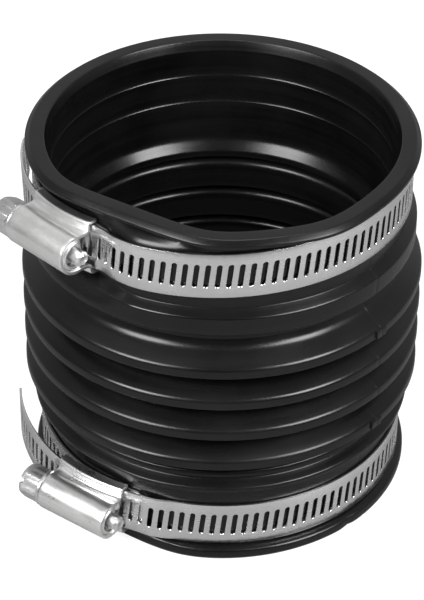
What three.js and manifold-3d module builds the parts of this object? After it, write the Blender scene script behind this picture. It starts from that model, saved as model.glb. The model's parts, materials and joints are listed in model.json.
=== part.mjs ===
// Bellows pipe coupling: a moulded rubber sleeve with a cuff at each end, four folds between the
// cuffs, and a stainless worm-drive clamp round each cuff.
// Millimetres, +Z along the pipe. The origin is on the pipe's centre line, in the lower rim's plane.
// Both clamps have their worm screws on the -Y side, lying roughly along X with the heads towards -X.
// The mould's parting line is at +X and -X. Azimuth is measured from -Y towards +X.
import * as THREE from 'three';
import { mergeVertices } from 'three/addons/utils/BufferGeometryUtils.js';
import Module from 'manifold-3d';

const wasm = await Module();
wasm.setup();

// ---------- Driving dimensions ----------
const HEIGHT = 116.8;
const LIP_RADIUS = 58.4;
const SEAT_RADIUS = 55.6;
const BORE_RADIUS = 51.4;
const MOUTH_RADIUS = 52.6;
const LIP_CHAMFER = 1.5;

const FOLD_COUNT = 4;
const FOLD_PITCH = 11.25;
const FIRST_FOLD_Z = 37.3;
const FOLD_RADIUS = 60.7;
const ROOT_RADIUS = 51.8;
const NECK_RADIUS = 48.8;
const SHOULDER_RADIUS = 57.2;
// The root between the top fold's slope and the ring round the upper cuff's foot.
const GROOVE_RADIUS = 53.6;
const FOLD_GAP = 0.3;
const SLEEVE_SIDES = 40;
// The span over which a cuff's wall turns from round at its neck to drawn in at its seat.
const UPPER_ROUND_Z = 85.5;
const UPPER_SEAT_Z = 93.5;
const LOWER_ROUND_Z = 32.5;
const LOWER_SEAT_Z = 25.5;

const BAND_WIDTH = 14.8;
const BAND_THICKNESS = 0.7;
const SLOT_PITCH = 3.175;
const SLOT_LENGTH = 7.7;
const SLOT_WIDTH = 1.5;
// Both strips run towards -X, and their slots' tops lean back towards +X.
const SLOT_LEAN = THREE.MathUtils.degToRad(-6.5);
const FIT_GAP = 0.3;

const HOUSING_LENGTH = 24;
const SHEET = 1;
const SADDLE_THICKNESS = 0.9;
const WORM_CREST = 4.6;
const WORM_ROOT = 3.4;
const HEX_ACROSS_FLATS = 9.9;

// A cuff is drawn flat where the screw housing pulls on it, and its lip is bent in a little further.
const FLAT_BLEND = 0.35;

// middle is the band's height where x is 0, and slope how far it rises for each millimetre of x.
// turn is the azimuth that the clamp's own -Y direction points to. housingX lies along the screw.
// standOff lifts the curved saddle clear of a flat seat.
const UPPER = {
  name: 'upper',
  middle: 102.7,
  slope: 0.044,
  turn: THREE.MathUtils.degToRad(-7),
  seatDepth: 3.6,
  lipDepth: 4.9,
  lipAzimuth: THREE.MathUtils.degToRad(8),
  roundZ: UPPER_ROUND_Z,
  seatZ: UPPER_SEAT_Z,
  seatEndZ: HEIGHT - 5.6,
  lipStartZ: HEIGHT - 3.2,
  housingX: -7.3,
  standOff: 0.6,
  headTurn: THREE.MathUtils.degToRad(6),
  tailRadius: 52,
  tailSweep: THREE.MathUtils.degToRad(51.5),
};
const LOWER = {
  name: 'lower',
  middle: 12.8,
  slope: 0,
  turn: THREE.MathUtils.degToRad(4),
  seatDepth: 0.6,
  lipDepth: 2.2,
  lipAzimuth: THREE.MathUtils.degToRad(5),
  roundZ: LOWER_ROUND_Z,
  seatZ: LOWER_SEAT_Z,
  seatEndZ: 4.6,
  lipStartZ: 3.4,
  housingX: -5.5,
  standOff: 0.5,
  headTurn: THREE.MathUtils.degToRad(-31.5),
  tailRadius: 60,
  tailSweep: THREE.MathUtils.degToRad(49),
};

// ---------- Materials ----------
const rubber = new THREE.MeshStandardMaterial({ color: 0x1b1b1d, roughness: 0.55, metalness: 0 });
const bandSteel = new THREE.MeshStandardMaterial({ color: 0xc9cacc, roughness: 0.3, metalness: 1 });
const housingSteel = new THREE.MeshStandardMaterial({ color: 0xb9babc, roughness: 0.35, metalness: 1 });
const screwSteel = new THREE.MeshStandardMaterial({ color: 0xa9aaad, roughness: 0.4, metalness: 1 });

const assembly = new THREE.Group();

function addPiece(name, geometry, material, parent = assembly) {
  const mesh = new THREE.Mesh(geometry, material);
  mesh.name = name;
  parent.add(mesh);
  return mesh;
}

// ---------- Mesh helpers ----------
function signedVolume(geometry) {
  const position = geometry.attributes.position;
  const index = geometry.index.array;
  const a = new THREE.Vector3();
  const b = new THREE.Vector3();
  const c = new THREE.Vector3();
  let volume = 0;
  for (let i = 0; i < index.length; i += 3) {
    a.fromBufferAttribute(position, index[i]);
    b.fromBufferAttribute(position, index[i + 1]);
    c.fromBufferAttribute(position, index[i + 2]);
    volume += a.dot(b.cross(c)) / 6;
  }
  return volume;
}

// Shared vertices are merged, and the faces are turned to point out.
function closedBody(geometry) {
  geometry.deleteAttribute('normal');
  geometry.deleteAttribute('uv');
  const body = mergeVertices(geometry, 1e-4);
  if (signedVolume(body) < 0) {
    const index = body.index.array;
    for (let i = 0; i < index.length; i += 3) {
      [index[i + 1], index[i + 2]] = [index[i + 2], index[i + 1]];
    }
  }
  body.computeVertexNormals();
  return body;
}

function meshFrom(vertices, triangles) {
  const geometry = new THREE.BufferGeometry();
  geometry.setAttribute('position', new THREE.Float32BufferAttribute(vertices.flat(), 3));
  geometry.setIndex(triangles.flat());
  return closedBody(geometry);
}

function solid(geometry) {
  const body = closedBody(geometry);
  return new wasm.Manifold(new wasm.Mesh({
    numProp: 3,
    vertProperties: new Float32Array(body.attributes.position.array),
    triVerts: new Uint32Array(body.index.array),
  }));
}

function fromSolid(manifold) {
  const mesh = manifold.getMesh();
  const geometry = new THREE.BufferGeometry();
  geometry.setAttribute('position', new THREE.BufferAttribute(mesh.vertProperties, 3));
  geometry.setIndex(new THREE.BufferAttribute(mesh.triVerts, 1));
  return closedBody(geometry);
}

// ---------- The flattened cuff ----------
// How far a flat of the given depth draws the cuff in. fromFlat is the azimuth from the flat's middle.
function drawnIn(fromFlat, depth) {
  const facing = Math.cos(fromFlat);
  if (facing < 0.2) return 0;
  const flatRadius = (LIP_RADIUS - depth) / facing;
  const rounded = Math.exp(-LIP_RADIUS / FLAT_BLEND) + Math.exp(-flatRadius / FLAT_BLEND);
  return LIP_RADIUS + FLAT_BLEND * Math.log(rounded);
}

function between(z, from, to) {
  return THREE.MathUtils.smoothstep((z - from) / (to - from), 0, 1);
}

function flattenCuff(geometry, clamp) {
  const position = geometry.attributes.position;
  for (let i = 0; i < position.count; i++) {
    const x = position.getX(i);
    const y = position.getY(i);
    const z = position.getZ(i);
    const azimuth = Math.atan2(x, -y);
    const atLip = between(z, clamp.seatEndZ, clamp.lipStartZ);
    const atSeat = between(z, clamp.roundZ, clamp.seatZ) * (1 - atLip);
    const lip = drawnIn(azimuth - clamp.lipAzimuth, clamp.lipDepth);
    const seat = drawnIn(azimuth - clamp.turn, clamp.seatDepth);
    const scale = 1 - (atLip * lip + atSeat * seat) / Math.hypot(x, y);
    position.setX(i, x * scale);
    position.setY(i, y * scale);
  }
  return geometry;
}

// ---------- Rubber sleeve ----------
// A ring about Z from a closed outline of [radius, z] corners.
function revolve(outline) {
  const points = [...outline, outline[0]].map(([radius, z]) => new THREE.Vector2(radius, z));
  const geometry = new THREE.LatheGeometry(points, SLEEVE_SIDES);
  geometry.rotateX(Math.PI / 2);
  return closedBody(geometry);
}

const FOLD_ROOT_DROP = 1.5;
const LOWER_SPLIT_Z = FIRST_FOLD_Z - FOLD_ROOT_DROP - FOLD_GAP;
const TOP_FOLD_END_Z = FIRST_FOLD_Z + FOLD_COUNT * FOLD_PITCH + 0.9;
const UPPER_SPLIT_Z = TOP_FOLD_END_Z + FOLD_GAP;
// Beyond these heights a cuff is a plain wall. Between them and the folds is its neck. Each pipe's
// end meets the narrowing inside: the upper pipe's in the top fold, the lower pipe's in the lower neck.
const UPPER_NECK_TOP = UPPER_SPLIT_Z + 4.8;
const LOWER_NECK_BOTTOM = LOWER_SPLIT_Z - 5.6;
const SHOULDER_DROP = 3.4;
const GROOVE_DROP = 5.4;
const MOUTH_DEPTH = 3;
const LIP_UNDERCUT = 0.6;

function upperNeck() {
  const outline = [
    [BORE_RADIUS, UPPER_SPLIT_Z],
    [GROOVE_RADIUS, UPPER_SPLIT_Z],
    [LIP_RADIUS - 1, UPPER_ROUND_Z - 0.4],
    [LIP_RADIUS, UPPER_ROUND_Z + 0.4],
    [LIP_RADIUS, UPPER_NECK_TOP],
    [BORE_RADIUS, UPPER_NECK_TOP],
  ];
  return flattenCuff(revolve(outline), UPPER);
}

function upperCuff() {
  const bottom = UPPER_NECK_TOP + FOLD_GAP;
  const beadTop = UPPER_ROUND_Z + 5.2;
  const lipBottom = HEIGHT - LIP_CHAMFER - 0.8;
  const outline = [
    [BORE_RADIUS, bottom],
    [BORE_RADIUS, UPPER_SEAT_Z],
    [BORE_RADIUS, UPPER.seatEndZ],
    [BORE_RADIUS, HEIGHT - MOUTH_DEPTH],
    [MOUTH_RADIUS, HEIGHT],
    [LIP_RADIUS - LIP_CHAMFER, HEIGHT],
    [LIP_RADIUS, HEIGHT - LIP_CHAMFER],
    [LIP_RADIUS, lipBottom],
    [SEAT_RADIUS, lipBottom - LIP_UNDERCUT],
    [SEAT_RADIUS, UPPER.seatEndZ],
    [SEAT_RADIUS, beadTop + 2],
    [LIP_RADIUS, beadTop],
    [LIP_RADIUS, bottom],
  ];
  return flattenCuff(revolve(outline), UPPER);
}

function lowerNeck() {
  const outline = [
    [NECK_RADIUS, LOWER_SPLIT_Z],
    [ROOT_RADIUS, LOWER_SPLIT_Z],
    [SHOULDER_RADIUS - 1, LOWER_SPLIT_Z - SHOULDER_DROP + 1.2],
    [SHOULDER_RADIUS, LOWER_SPLIT_Z - SHOULDER_DROP],
    [SEAT_RADIUS - 0.6, LOWER_SPLIT_Z - GROOVE_DROP],
    [SEAT_RADIUS - 0.6, LOWER_NECK_BOTTOM],
    [BORE_RADIUS, LOWER_NECK_BOTTOM],
    [BORE_RADIUS, LOWER_SPLIT_Z - GROOVE_DROP],
    [NECK_RADIUS, LOWER_SPLIT_Z - 2],
  ];
  return flattenCuff(revolve(outline), LOWER);
}

function lowerCuff() {
  const top = LOWER_NECK_BOTTOM - FOLD_GAP;
  const beadTop = top - 1.3;
  const beadBottom = beadTop - 1.4;
  const outline = [
    [BORE_RADIUS, top],
    [SEAT_RADIUS + 0.4, top],
    [LIP_RADIUS, beadTop],
    [LIP_RADIUS, beadBottom],
    [SEAT_RADIUS, beadBottom - 1.4],
    [SEAT_RADIUS, LOWER.seatEndZ],
    [LIP_RADIUS, LOWER.lipStartZ],
    [LIP_RADIUS, 1],
    [LIP_RADIUS - 1, 0],
    [MOUTH_RADIUS, 0],
    [BORE_RADIUS, MOUTH_DEPTH],
    [BORE_RADIUS, LOWER.seatEndZ],
    [BORE_RADIUS, LOWER_SEAT_Z],
  ];
  return flattenCuff(revolve(outline), LOWER);
}

// One fold: a flat underside, a narrow upright rim and a slope up to the next root, with a hollow inside.
// top is the height of the slope's root over the rim's lower edge, and rootRadius its radius.
// slope and hollow are (radius, rise over the rim's lower edge), going up outside and down inside.
const RIM_HEIGHT = 3;
const PEAK_RISE = 3;

function fold(rimZ, top, slope, rootRadius, hollow) {
  const outline = [
    [ROOT_RADIUS, rimZ - FOLD_ROOT_DROP],
    [FOLD_RADIUS - 0.4, rimZ],
    [FOLD_RADIUS, rimZ + 0.5],
    [FOLD_RADIUS, rimZ + RIM_HEIGHT],
    ...slope.map(([radius, rise]) => [radius, rimZ + rise]),
    [rootRadius, rimZ + top],
    [hollow[0][0], rimZ + top],
    ...hollow.map(([radius, rise]) => [radius, rimZ + rise]),
    [NECK_RADIUS + 0.8, rimZ + PEAK_RISE],
    [NECK_RADIUS, rimZ + PEAK_RISE - 1],
    [NECK_RADIUS, rimZ - FOLD_ROOT_DROP],
  ];
  return revolve(outline);
}

const FOLD_SLOPE = [
  [57.8, 4.6],
  [53.2, 7.6],
  [ROOT_RADIUS + 0.2, 8.8],
];
const FOLD_HOLLOW = [
  [NECK_RADIUS, 6.8],
  [57, 3.4],
  [57, 2.6],
];
// The top fold runs up to the ring at the foot of the cuff. Inside, it narrows: the upper pipe stop.
const TOP_SLOPE = [
  [57.8, 4.6],
  [54.6, 7.2],
  [GROOVE_RADIUS, 8.8],
];
const TOP_HOLLOW = [
  [BORE_RADIUS, 10.4],
  [NECK_RADIUS, 6.8],
  [57, 3.4],
  [57, 2.6],
];

function addSleeve() {
  addPiece('lower_cuff', lowerCuff(), rubber);
  addPiece('lower_neck', lowerNeck(), rubber);
  for (let i = 0; i < FOLD_COUNT; i++) {
    const rimZ = FIRST_FOLD_Z + i * FOLD_PITCH;
    const isTop = i === FOLD_COUNT - 1;
    const top = isTop ? TOP_FOLD_END_Z - rimZ : FOLD_PITCH - FOLD_ROOT_DROP - FOLD_GAP;
    const slope = isTop ? TOP_SLOPE : FOLD_SLOPE;
    const hollow = isTop ? TOP_HOLLOW : FOLD_HOLLOW;
    const rootRadius = isTop ? GROOVE_RADIUS : ROOT_RADIUS;
    addPiece(`fold_${i + 1}`, fold(rimZ, top, slope, rootRadius, hollow), rubber);
  }
  addPiece('upper_neck', upperNeck(), rubber);
  addPiece('upper_cuff', upperCuff(), rubber);
}

// ---------- Strip metal ----------
// A strip whose inner face follows route(s), a point and outward direction in the XY plane.
// stations are the cell boundaries along s. A cell whose entry in slotted is true has a slot.
function strip(route, stations, slotted, width, thickness) {
  const vertices = [];
  const triangles = [];
  const addVertex = (s, z, outside) => {
    const { x, y, outX, outY } = route(s);
    const out = outside ? thickness : 0;
    vertices.push([x + outX * out, y + outY * out, z]);
    return vertices.length - 1;
  };
  const quad = (a, b, c, d) => triangles.push([a, b, c], [a, c, d]);
  const half = width / 2;
  // Corners run bottom, top on the inner face, then bottom, top on the outer face.
  const edges = stations.map((s) => [
    addVertex(s, -half, false),
    addVertex(s, half, false),
    addVertex(s, -half, true),
    addVertex(s, half, true),
  ]);
  for (let i = 0; i + 1 < edges.length; i++) {
    const [innerLow, innerHigh, outerLow, outerHigh] = edges[i];
    const [nextInnerLow, nextInnerHigh, nextOuterLow, nextOuterHigh] = edges[i + 1];
    quad(innerHigh, outerHigh, nextOuterHigh, nextInnerHigh);
    quad(innerLow, nextInnerLow, nextOuterLow, outerLow);
    if (!slotted[i]) {
      quad(outerLow, nextOuterLow, nextOuterHigh, outerHigh);
      quad(innerLow, innerHigh, nextInnerHigh, nextInnerLow);
      continue;
    }
    const centre = (stations[i] + stations[i + 1]) / 2;
    const lean = (SLOT_LENGTH / 2) * Math.tan(SLOT_LEAN);
    const corners = [
      [-SLOT_WIDTH / 2 - lean, -SLOT_LENGTH / 2],
      [SLOT_WIDTH / 2 - lean, -SLOT_LENGTH / 2],
      [SLOT_WIDTH / 2 + lean, SLOT_LENGTH / 2],
      [-SLOT_WIDTH / 2 + lean, SLOT_LENGTH / 2],
    ];
    const outerHole = corners.map(([along, z]) => addVertex(centre + along, z, true));
    const innerHole = corners.map(([along, z]) => addVertex(centre + along, z, false));
    const outerFrame = [outerLow, nextOuterLow, nextOuterHigh, outerHigh];
    const innerFrame = [innerLow, nextInnerLow, nextInnerHigh, innerHigh];
    for (let k = 0; k < 4; k++) {
      const next = (k + 1) % 4;
      quad(outerFrame[k], outerFrame[next], outerHole[next], outerHole[k]);
      quad(innerFrame[next], innerFrame[k], innerHole[k], innerHole[next]);
      quad(outerHole[k], outerHole[next], innerHole[next], innerHole[k]);
    }
  }
  const [startInnerLow, startInnerHigh, startOuterLow, startOuterHigh] = edges[0];
  const [endInnerLow, endInnerHigh, endOuterLow, endOuterHigh] = edges[edges.length - 1];
  quad(startInnerLow, startOuterLow, startOuterHigh, startInnerHigh);
  quad(endInnerLow, endInnerHigh, endOuterHigh, endOuterLow);
  return meshFrom(vertices, triangles);
}

// ---------- Clamp, in its own frame: screw along X, band's middle plane at z 0 ----------
// The saddle rests on the band's inner layer, and the tail lies on the saddle.
function saddleHeight(clamp) {
  return SEAT_RADIUS - clamp.seatDepth + FIT_GAP + BAND_THICKNESS + FIT_GAP + clamp.standOff;
}

// The tail's arc turns about a centre inboard of the housing. angle is measured from -Y towards +X.
function tailCentre(clamp) {
  const tailInner = saddleHeight(clamp) + SADDLE_THICKNESS + FIT_GAP;
  return { x: clamp.housingX, y: -(tailInner - clamp.tailRadius) };
}

function arcPoint(clamp, radius, angle) {
  const centre = tailCentre(clamp);
  const outX = Math.sin(angle);
  const outY = -Math.cos(angle);
  return { x: centre.x + radius * outX, y: centre.y + radius * outY, outX, outY };
}

// The band's seat on the cuff at an azimuth, lifted by a height.
function seatPoint(clamp, azimuth, lift) {
  const radius = SEAT_RADIUS + FIT_GAP + lift - drawnIn(azimuth, clamp.seatDepth);
  return { x: radius * Math.sin(azimuth), y: -radius * Math.cos(azimuth) };
}

// Distances along X from the housing's middle. The tongue is the band's inner end, which sticks out
// past the housing. The returning layer steps up over it, then leaves the cuff for the tail's arc.
const TONGUE_REACH = 18.6;
const JOGGLE_START = 28;
const JOGGLE_END = 19.5;
const RAMP_START = 19;
const RAMP_END = 10;
const RETURN_DEPTH = 6;
const UPPER_LAYER_LIFT = BAND_THICKNESS + FIT_GAP;
const TAIL_ROOT_OFFSET = -0.2;
// Only the last quarter of the loop has the returning layer's step and ramp.
const LAST_QUARTER = 1.75 * Math.PI;

// The band as one open loop. It starts at the tongue, runs under the housing towards -X, goes round
// the cuff and comes back from +X, over the tongue and into the housing.
// turn is the azimuth gone through, from 0 at the tongue's end.
function loopPoint(clamp, turn) {
  const startAzimuth = Math.atan2(clamp.housingX + TONGUE_REACH, saddleHeight(clamp));
  const azimuth = startAzimuth - turn;
  const seated = seatPoint(clamp, azimuth, 0);
  if (turn < LAST_QUARTER) return seated;
  const fromHousing = seated.x - clamp.housingX;
  const joggle = THREE.MathUtils.smoothstep(JOGGLE_START - fromHousing, 0, JOGGLE_START - JOGGLE_END);
  const lifted = seatPoint(clamp, azimuth, UPPER_LAYER_LIFT * joggle);
  const ramp = THREE.MathUtils.smoothstep(RAMP_START - fromHousing, 0, RAMP_START - RAMP_END);
  if (ramp === 0) return lifted;
  const onArc = arcPoint(clamp, clamp.tailRadius, Math.asin((lifted.x - clamp.housingX) / clamp.tailRadius));
  return { x: lifted.x, y: lifted.y + (onArc.y - lifted.y) * ramp };
}

// The loop's inner face sampled finely, for stepping along it by length.
function loopSamples(clamp) {
  const steps = 2400;
  const lastTurn = 2 * Math.PI + Math.atan2(TONGUE_REACH - RETURN_DEPTH, saddleHeight(clamp));
  const samples = [];
  let length = 0;
  for (let i = 0; i <= steps; i++) {
    const point = loopPoint(clamp, (lastTurn * i) / steps);
    const last = samples[i - 1];
    if (last) length += Math.hypot(point.x - last.x, point.y - last.y);
    samples.push({ ...point, length });
  }
  return samples;
}

// The loop runs clockwise seen from above, so its outward side is on the left of its direction.
function loopRoute(samples) {
  return (s) => {
    let low = 0;
    let high = samples.length - 2;
    while (low < high) {
      const middle = Math.ceil((low + high) / 2);
      if (samples[middle].length <= s) low = middle;
      else high = middle - 1;
    }
    const a = samples[low];
    const b = samples[low + 1];
    const span = b.length - a.length;
    const share = (s - a.length) / span;
    const alongX = (b.x - a.x) / span;
    const alongY = (b.y - a.y) / span;
    return {
      x: a.x + (b.x - a.x) * share,
      y: a.y + (b.y - a.y) * share,
      outX: -alongY,
      outY: alongX,
    };
  };
}

// The loop follows the clamp's slope by shearing, so that its wall stays upright on the cuff.
function loopPlace(clamp) {
  const place = new THREE.Matrix4().set(
    1, 0, 0, 0,
    0, 1, 0, 0,
    clamp.slope, 0, 1, clamp.middle,
    0, 0, 0, 1,
  );
  return place.multiply(new THREE.Matrix4().makeRotationZ(clamp.turn));
}

function addBand(clamp) {
  const samples = loopSamples(clamp);
  const route = loopRoute(samples);
  const total = samples[samples.length - 1].length;
  const cells = Math.floor(total / SLOT_PITCH);
  const stations = [0];
  for (let i = 0; i <= cells; i++) {
    stations.push(total - (cells - i) * SLOT_PITCH);
  }
  // The tongue's end is plain, because no thread reaches it.
  const slotted = stations.map((s) => s > TONGUE_REACH - 2);
  const geometry = strip(route, stations, slotted, BAND_WIDTH, BAND_THICKNESS);
  addPiece(`${clamp.name}_band`, geometry.applyMatrix4(loopPlace(clamp)), bandSteel);
}

const TAIL_END_PLAIN = 1.6;

function addTail(clamp, parent) {
  const start = TAIL_ROOT_OFFSET / clamp.tailRadius;
  const cells = Math.floor((start + clamp.tailSweep) * clamp.tailRadius / SLOT_PITCH);
  const stations = [];
  for (let i = 0; i <= cells; i++) {
    stations.push(i * SLOT_PITCH);
  }
  stations.push(cells * SLOT_PITCH + TAIL_END_PLAIN);
  const slotted = stations.map((s, i) => i < cells);
  const route = (s) => arcPoint(clamp, clamp.tailRadius, start - s / clamp.tailRadius);
  const geometry = strip(route, stations, slotted, BAND_WIDTH, BAND_THICKNESS);
  addPiece(`${clamp.name}_band_tail`, geometry, bandSteel, parent);
}

const SADDLE_HALF = 8;
const SADDLE_CELLS = 8;

function addSaddle(clamp, parent) {
  const radius = clamp.tailRadius - FIT_GAP - SADDLE_THICKNESS;
  const stations = [];
  for (let i = 0; i <= SADDLE_CELLS; i++) {
    stations.push((2 * SADDLE_HALF * i) / SADDLE_CELLS);
  }
  const route = (s) => arcPoint(clamp, radius, (SADDLE_HALF - s) / radius);
  const slotted = stations.map(() => false);
  const geometry = strip(route, stations, slotted, BAND_WIDTH, SADDLE_THICKNESS);
  addPiece(`${clamp.name}_saddle`, geometry, housingSteel, parent);
}

// ---------- Screw housing ----------
// Outlines lie in the plane across the screw: first coordinate along Z, second outward from its axis.
const ARCH_INNER = WORM_CREST + 0.4;
const ARCH_OUTER = ARCH_INNER + SHEET;
const SKIRT_HALF = BAND_WIDTH / 2 + 0.4;
const SKIRT_TOP = -WORM_CREST;
const SKIRT_BOTTOM = -6.7;
const SPRING_ANGLE = THREE.MathUtils.degToRad(-12);
const JOURNAL_RADIUS = 3.2;
const ARCH_STEPS = 10;

function archPoints(radius, from, to) {
  const points = [];
  for (let i = 0; i <= ARCH_STEPS; i++) {
    const angle = from + ((to - from) * i) / ARCH_STEPS;
    points.push(new THREE.Vector2(radius * Math.cos(angle), radius * Math.sin(angle)));
  }
  return points;
}

function shellOutline() {
  return new THREE.Shape([
    ...archPoints(ARCH_OUTER, SPRING_ANGLE, Math.PI - SPRING_ANGLE),
    new THREE.Vector2(-SKIRT_HALF - SHEET, SKIRT_TOP + 0.4),
    new THREE.Vector2(-SKIRT_HALF - SHEET, SKIRT_BOTTOM),
    new THREE.Vector2(-SKIRT_HALF, SKIRT_BOTTOM),
    new THREE.Vector2(-SKIRT_HALF, SKIRT_TOP),
    ...archPoints(ARCH_INNER, Math.PI - SPRING_ANGLE, SPRING_ANGLE),
    new THREE.Vector2(SKIRT_HALF, SKIRT_TOP),
    new THREE.Vector2(SKIRT_HALF, SKIRT_BOTTOM),
    new THREE.Vector2(SKIRT_HALF + SHEET, SKIRT_BOTTOM),
    new THREE.Vector2(SKIRT_HALF + SHEET, SKIRT_TOP + 0.4),
  ]);
}

// The arched lip at each end of the shell, which holds the screw in.
function lipOutline() {
  const hole = JOURNAL_RADIUS + FIT_GAP;
  return new THREE.Shape([
    ...archPoints(ARCH_INNER + SHEET / 2, SPRING_ANGLE, Math.PI - SPRING_ANGLE),
    ...archPoints(hole, Math.PI - SPRING_ANGLE, SPRING_ANGLE),
  ]);
}

function screwHeight(clamp) {
  return saddleHeight(clamp) + SADDLE_THICKNESS + FIT_GAP + BAND_THICKNESS + FIT_GAP + WORM_CREST;
}

// Carries a shape drawn across the screw, extruded along it, to its place on the clamp.
function alongScrew(geometry, clamp, fromX) {
  const place = new THREE.Matrix4().makeBasis(
    new THREE.Vector3(0, 0, 1),
    new THREE.Vector3(0, -1, 0),
    new THREE.Vector3(1, 0, 0),
  );
  place.setPosition(clamp.housingX + fromX, -screwHeight(clamp), 0);
  return geometry.applyMatrix4(place);
}

function extruded(outline, length) {
  return new THREE.ExtrudeGeometry(outline, { depth: length, bevelEnabled: false, curveSegments: 1 });
}

function addHousing(clamp, parent) {
  const half = HOUSING_LENGTH / 2;
  const shell = solid(alongScrew(extruded(shellOutline(), HOUSING_LENGTH), clamp, -half));
  const headLip = solid(alongScrew(extruded(lipOutline(), SHEET), clamp, -half));
  const tipLip = solid(alongScrew(extruded(lipOutline(), SHEET), clamp, half - SHEET));
  const geometry = fromSolid(shell.add(headLip).add(tipLip));
  addPiece(`${clamp.name}_housing`, geometry, housingSteel, parent);
}

// ---------- Worm screw ----------
const COLLAR_RADIUS = 5.75;
const COLLAR_LENGTH = 1.4;
const HEX_LENGTH = 7;
const DRIVE_SLOT_WIDTH = 1.3;
const DRIVE_SLOT_DEPTH = 2.2;
const TIP_RADIUS = 2.3;
const TIP_LENGTH = 3.2;
const JOIN = 0.1;
const THREAD_SIDES = 16;
const ROWS_PER_TURN = 6;

// A cylinder about X with a right-hand thread raised on all but its end rings.
function wormBody(length) {
  const rows = Math.round((length / SLOT_PITCH) * ROWS_PER_TURN);
  const geometry = new THREE.CylinderGeometry(WORM_ROOT, WORM_ROOT, length, THREAD_SIDES, rows);
  geometry.rotateZ(-Math.PI / 2);
  const body = closedBody(geometry);
  const position = body.attributes.position;
  for (let i = 0; i < position.count; i++) {
    const x = position.getX(i);
    const y = position.getY(i);
    const z = position.getZ(i);
    const radius = Math.hypot(y, z);
    const isEnd = Math.abs(x) > length / 2 - 0.01;
    if (isEnd || radius < 0.01) continue;
    const turn = x / SLOT_PITCH - Math.atan2(z, y) / (2 * Math.PI);
    const fromCrest = Math.abs(turn - Math.round(turn));
    const rise = THREE.MathUtils.clamp((0.34 - fromCrest) / 0.16, 0, 1);
    const scale = (WORM_ROOT + (WORM_CREST - WORM_ROOT) * rise) / radius;
    position.setY(i, y * scale);
    position.setZ(i, z * scale);
  }
  return body;
}

// A plain round length about X, from one end to the other.
function shaft(radius, fromX, toX, sides = THREAD_SIDES) {
  const geometry = new THREE.CylinderGeometry(radius, radius, toX - fromX, sides);
  geometry.rotateZ(-Math.PI / 2);
  geometry.translate((fromX + toX) / 2, 0, 0);
  return solid(geometry);
}

// The hex head with its driving slot. Its outer corners are turned down to a cone.
function hexHead(innerX) {
  const outerX = innerX - HEX_LENGTH;
  const acrossCorners = HEX_ACROSS_FLATS / Math.cos(Math.PI / 6) / 2;
  const prism = shaft(acrossCorners, outerX, innerX, 6);
  const chamfer = new THREE.CylinderGeometry(acrossCorners + 2, acrossCorners - 1, 3, 24);
  chamfer.rotateZ(-Math.PI / 2);
  chamfer.scale(-1, 1, 1);
  chamfer.translate(outerX + 1.5, 0, 0);
  const body = shaft(acrossCorners + 1, outerX + 2, innerX, 24);
  const slot = new THREE.BoxGeometry(2 * DRIVE_SLOT_DEPTH, 3 * HEX_ACROSS_FLATS, DRIVE_SLOT_WIDTH);
  slot.translate(outerX, 0, 0);
  return prism.intersect(solid(chamfer).add(body)).subtract(solid(slot));
}

function addScrew(clamp, parent) {
  const half = HOUSING_LENGTH / 2;
  const wormHalf = half - SHEET - FIT_GAP;
  const collarX = -half - FIT_GAP;
  const tipX = half + TIP_LENGTH;
  const screw = solid(wormBody(2 * wormHalf))
    .add(shaft(JOURNAL_RADIUS, collarX - JOIN, -wormHalf + JOIN))
    .add(shaft(COLLAR_RADIUS, collarX - COLLAR_LENGTH, collarX, 24))
    .add(hexHead(collarX - COLLAR_LENGTH + JOIN))
    .add(shaft(TIP_RADIUS, wormHalf - JOIN, tipX));
  const geometry = fromSolid(screw);
  geometry.rotateX(clamp.headTurn);
  geometry.translate(clamp.housingX, -screwHeight(clamp), 0);
  addPiece(`${clamp.name}_screw`, geometry, screwSteel, parent);
}

// ---------- Assembly ----------
function addClamp(clamp) {
  const group = new THREE.Group();
  group.position.z = clamp.middle;
  group.rotation.set(0, -Math.atan(clamp.slope), clamp.turn, 'YXZ');
  addBand(clamp);
  addTail(clamp, group);
  addSaddle(clamp, group);
  addHousing(clamp, group);
  addScrew(clamp, group);
  assembly.add(group);
}

addSleeve();
addClamp(UPPER);
addClamp(LOWER);

export default assembly;
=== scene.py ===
"""Bellows pipe coupling: a moulded rubber sleeve with two worm-drive clamps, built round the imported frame.

Metres, +Z along the pipe, with the origin on its centre line in the lower rim's plane. Azimuth is
measured from -Y towards +X. The mould's parting line is at +X and -X.
"""

import json
import math

import bmesh
import bpy
from mathutils import Matrix, Vector


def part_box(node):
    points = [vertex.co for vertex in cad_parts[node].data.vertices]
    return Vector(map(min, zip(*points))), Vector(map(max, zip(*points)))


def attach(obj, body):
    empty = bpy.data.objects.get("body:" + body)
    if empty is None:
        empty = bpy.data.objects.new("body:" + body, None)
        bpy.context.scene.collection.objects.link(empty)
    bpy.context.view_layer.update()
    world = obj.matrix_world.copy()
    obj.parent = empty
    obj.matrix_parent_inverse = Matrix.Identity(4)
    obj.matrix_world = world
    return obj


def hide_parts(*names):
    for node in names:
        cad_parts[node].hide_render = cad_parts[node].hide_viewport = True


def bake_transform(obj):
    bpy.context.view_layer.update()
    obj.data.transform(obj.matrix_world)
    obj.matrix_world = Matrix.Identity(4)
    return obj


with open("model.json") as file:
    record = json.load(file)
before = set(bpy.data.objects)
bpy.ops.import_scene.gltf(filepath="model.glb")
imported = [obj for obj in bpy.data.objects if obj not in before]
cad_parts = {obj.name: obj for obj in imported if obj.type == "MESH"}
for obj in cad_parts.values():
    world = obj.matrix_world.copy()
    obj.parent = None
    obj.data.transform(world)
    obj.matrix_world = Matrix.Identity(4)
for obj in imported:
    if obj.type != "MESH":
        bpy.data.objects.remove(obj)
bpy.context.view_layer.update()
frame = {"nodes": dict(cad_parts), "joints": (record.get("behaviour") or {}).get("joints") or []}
MM = 0.001

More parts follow.
